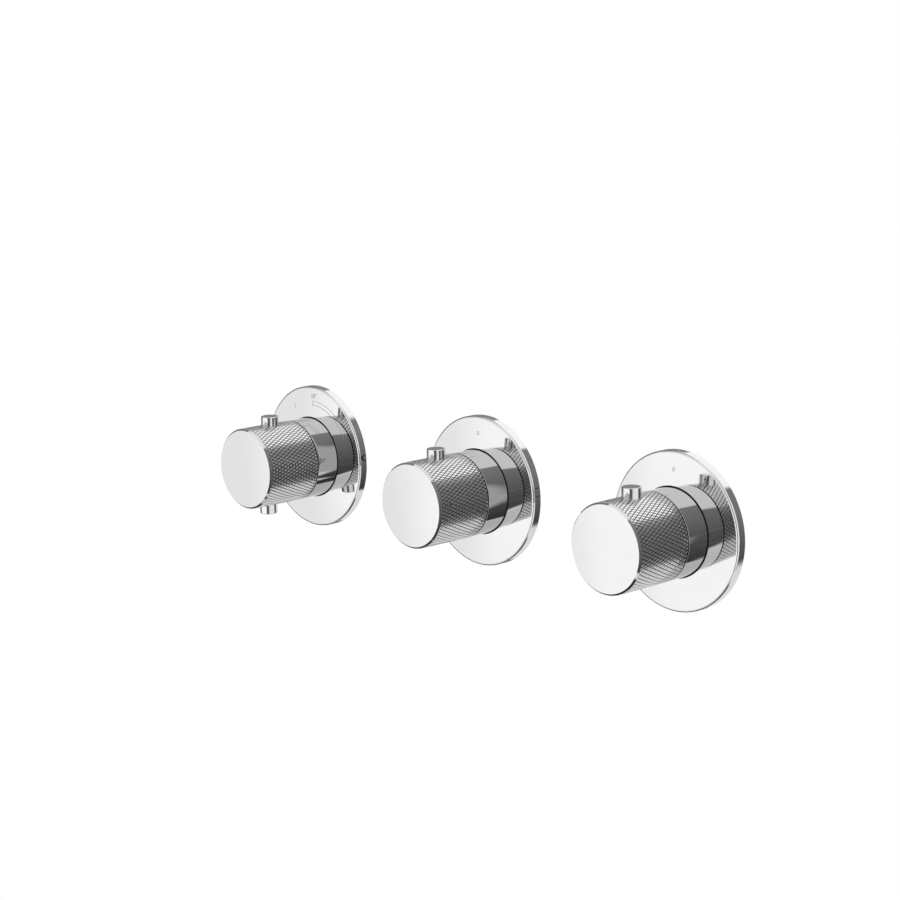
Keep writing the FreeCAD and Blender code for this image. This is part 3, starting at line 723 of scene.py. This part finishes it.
def coilMesh(spring):
    # round wire whose end turns lie close together
    reach, wire, turns = Vector(spring["reach"]), spring["wire"], spring["turns"]
    along, right = reach.normalized(), Vector((1, 0, 0))
    up = along.cross(right)
    closed = springSteps["closed"] * wire
    rise = (reach.length - 2 * wire - 2 * closed) / (turns - 2)
    work = bmesh.new()
    rows = []
    for k in range(turns * springSteps["wound"] + 1):
        wound = k / springSteps["wound"]
        spread = min(max(wound - 1, 0), turns - 2)
        height = wire + closed * (wound - spread) + rise * spread
        turn = 2 * math.pi * wound
        away = right * math.cos(turn) + up * math.sin(turn)
        row = []
        for i in range(springSteps["wire"]):
            lean = 2 * math.pi * i / springSteps["wire"]
            off = away * (spring["radius"] + wire * math.cos(lean)) + along * (height + wire * math.sin(lean))
            row.append(work.verts.new(Vector(spring["foot"]) + off))
        rows.append(row)
    addTube(work, rows)
    return finished(work, "coil", wholeTurn)


coils = []
for spring in springs:
    node, along = spring["node"], Vector(spring["reach"]).normalized()
    coil = linked(
        node + "_coil", coilMesh(spring), finishes["stainless"], spring["body"], [node],
    )
    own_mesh(coil)
    coils.append(coil)
print("springs done")


studio = dict(white=1.28, soft=0.95, room=0.7)
# what the chrome mirrors, each sheet over the ones before it: middle, half and soft edge of its turn to the
# right of straight out of the wall, the same of its height (degrees), brightness at its foot and its top
sheets = (
    dict(turn=(0, 181, 2), lift=(-90, 32, 4), light=(0.02, 0.035)),     # dark floor
    dict(turn=(-21, 42, 4), lift=(-41, 19, 5), light=(0.50, 0.70)),     # big front sheet, foot
    dict(turn=(-17, 20, 4), lift=(-62, 8, 3), light=(0.45, 0.55)),      # where it hangs lowest
    dict(turn=(-21, 42, 4), lift=(47, 43, 8), light=(0.70, 0.80)),      # its top
    dict(turn=(-17, 38, 6), lift=(-10, 17, 7), light=(0.95, 0.97)),     # its lit middle
    dict(turn=(-66, 19, 12), lift=(-10, 17, 7), light=(0.80, 0.80)),    # where the light on it fades
    dict(turn=(-66, 19, 12), lift=(22, 15, 8), light=(0.58, 0.60)),     # the same, higher
    dict(turn=(-97, 33, 4), lift=(7.5, 82.5, 5), light=(0.03, 0.26)),   # open room on the left
    dict(turn=(-169, 42, 6), lift=(55, 35, 9), light=(0.92, 1.0)),      # pale ceiling behind
    dict(turn=(-169, 42, 6), lift=(0, 17, 6), light=(0.30, 0.30)),      # dim band behind
    dict(turn=(-135, 8, 4), lift=(0, 31, 5), light=(0.16, 0.24)),       # dark upright behind, on the left
    dict(turn=(88, 40, 6), lift=(0, 60, 6), light=(0.76, 0.80)),        # side box
    dict(turn=(54, 7, 6), lift=(3, 33, 6), light=(0.44, 0.45)),         # its shaded near edge
    dict(turn=(36, 16, 4), lift=(28, 30, 4), light=(0.11, 0.25)),       # flag between front and side
    dict(turn=(35, 15, 4), lift=(-11, 10, 3), light=(0.08, 0.11)),      # its middle
    dict(turn=(38, 12, 4), lift=(-32, 12, 3), light=(0.05, 0.08)),      # its lower part
    dict(turn=(31, 8, 4), lift=(-52.5, 11.5, 3), light=(0.03, 0.045)),  # its foot
    dict(turn=(138, 13, 8), lift=(0, 41, 4), light=(0.04, 0.22)),       # flag behind the side box
    dict(turn=(150, 8, 5), lift=(33, 11, 5), light=(0.16, 0.20)),       # its upper corner
)
degrees = 180 / math.pi


def band(paint, angle, middle, half, edge):
    # 1 within a band of angles, easing to 0 over its edge
    away = paint.maths("ABSOLUTE", paint.maths("WRAP", angle - middle, 180.0, -180.0))
    return paint.ease(away, half + edge / 2, half - edge / 2)


def buildWorld():
    world = bpy.data.worlds.new("studio")
    bpy.context.scene.world = world
    world.use_nodes = True
    paint = Paint(world.node_tree)
    aim = paint.node("TexCoord", out="Generated")
    across, deep, high = (paint.node("SeparateXYZ", None, {0: aim}, axis) for axis in "XYZ")
    turn = paint.maths("ARCTAN2", across, 0 - deep) * degrees
    lift = paint.maths("ARCSINE", high) * degrees
    room = studio["room"]
    for sheet in sheets:
        inside = band(paint, turn, *sheet["turn"]) * band(paint, lift, *sheet["lift"])
        middle, half, edge = sheet["lift"]
        foot, top = sheet["light"]
        shade = paint.clamp(lift, middle - half, middle + half) * (top - foot) + foot
        room = paint.blend(inside, room, shade)
    seen, gloss = (paint.node("LightPath", out=ray) for ray in ("Is Camera Ray", "Is Glossy Ray"))
    plain = paint.node("Background", None, {"Color": rgb(1, 1, 1), "Strength": studio["soft"]})
    mirrored = paint.node("Background", None, {"Color": room, "Strength": studio["white"]})
    backdrop = paint.node("Background", None, {"Color": rgb(1, 1, 1), "Strength": 1.0})
    lit = paint.node("MixShader", None, {0: gloss, 1: plain, 2: mirrored})
    shown = paint.node("MixShader", None, {0: seen, 1: lit, 2: backdrop})
    paint.node("OutputWorld", None, {"Surface": shown})


buildWorld()

stageShape = dict(wallHalf=2.4, floorLevel=-0.5, floorHalf=3.0, floorWhite=0.8, floorPale=rgb(0.9, 0.9, 0.9))


def flatSheet(name, corners, finish):
    mesh = bpy.data.meshes.new(name)
    mesh.from_pydata(corners, [], [(0, 1, 2, 3)])
    mesh.materials.append(finish)
    sheet = bpy.data.objects.new(name, mesh)
    bpy.context.scene.collection.objects.link(sheet)
    sheet.visible_glossy = False
    return sheet


def mixedFinish(name, build):
    # (factor, first, second) of one Mix Shader
    made, paint = newMaterial(name)
    factor, first, second = build(paint)
    mixed = paint.node("MixShader", None, {0: factor, 1: first, 2: second})
    paint.node("OutputMaterial", None, {"Surface": mixed})
    return made


def whiteLight(paint):
    return paint.node("Emission", None, {"Color": rgb(1, 1, 1), "Strength": 1.0})


def wallSkin(paint):
    # white from the front, clear from behind, so that the brass bodies show in the back views
    return paint.node("NewGeometry", out="Backfacing"), whiteLight(paint), paint.node("BsdfTransparent")


def floorSkin(paint):
    # mostly plain white to the camera, with the object's shadow still on it
    pale = paint.node("BsdfDiffuse", None, {"Color": stageShape["floorPale"]})
    return paint.node("LightPath", out="Is Camera Ray") * stageShape["floorWhite"], pale, whiteLight(paint)


half, far, level = stageShape["wallHalf"], stageShape["floorHalf"], stageShape["floorLevel"]
wall = flatSheet(
    "wall", [(-half, 0, level), (half, 0, level), (half, 0, half), (-half, 0, half)],
    mixedFinish("wallWhite", wallSkin),
)
wall.visible_diffuse = wall.visible_shadow = False
flatSheet(
    "floor", [(-far, -far, level), (far, -far, level), (far, far, level), (-far, far, level)],
    mixedFinish("floorWhite", floorSkin),
)

# what stands behind the wall is kept out of the chrome's reflections
onShow = ("trim_chrome", "knob_chrome", "pin_chrome", "black_rubber")
for piece in [nodes[name] for name, slot in nodeSlots.items() if slot not in onShow] + [pipeThreads] + coils:
    piece.visible_glossy = False

lampShape = dict(at=(-0.5, -0.9, 0.9), size=0.8, power=2.0)
lamp = bpy.data.objects.new("softLamp", bpy.data.lights.new("softLamp", "AREA"))
bpy.context.scene.collection.objects.link(lamp)
lamp.data.size, lamp.data.energy = lampShape["size"], lampShape["power"]
lamp.location = lampShape["at"]
lamp.rotation_mode = "QUATERNION"
lamp.rotation_quaternion = (-Vector(lampShape["at"])).to_track_quat("-Z", "Y")
lamp.visible_glossy = False
print("stage and light done")

# the photograph's camera: angles in degrees, distance and slide in metres, focal length in picture widths
viewpoint = dict(
    azimuth=46.5035, height=11.3122, roll=-0.6913, away=1.065, slide=(-0.016593, 0.018458),
    focal=2301.92 / 900, sensor=36, clip=(0.01, 20),
)


def buildCamera():
    turn, lift, lean = (math.radians(viewpoint[k]) for k in ("azimuth", "height", "roll"))
    back = Vector((math.sin(turn) * math.cos(lift), -math.cos(turn) * math.cos(lift), math.sin(lift)))
    right = Vector((math.cos(turn), math.sin(turn), 0))
    up = back.cross(right)
    place = back * viewpoint["away"] + right * viewpoint["slide"][0] + up * viewpoint["slide"][1]
    rightLean = right * math.cos(lean) + up * math.sin(lean)
    upLean = up * math.cos(lean) - right * math.sin(lean)
    data = bpy.data.cameras.new("camera")
    data.sensor_width = viewpoint["sensor"]
    data.lens = viewpoint["focal"] * viewpoint["sensor"]
    data.clip_start, data.clip_end = viewpoint["clip"]
    camera = bpy.data.objects.new("camera", data)
    bpy.context.scene.collection.objects.link(camera)
    basis = Matrix((rightLean, upLean, back)).transposed().to_4x4()
    camera.matrix_world = Matrix.Translation(place) @ basis
    bpy.context.scene.camera = camera


buildCamera()
bpy.context.scene.view_settings.view_transform = "Standard"
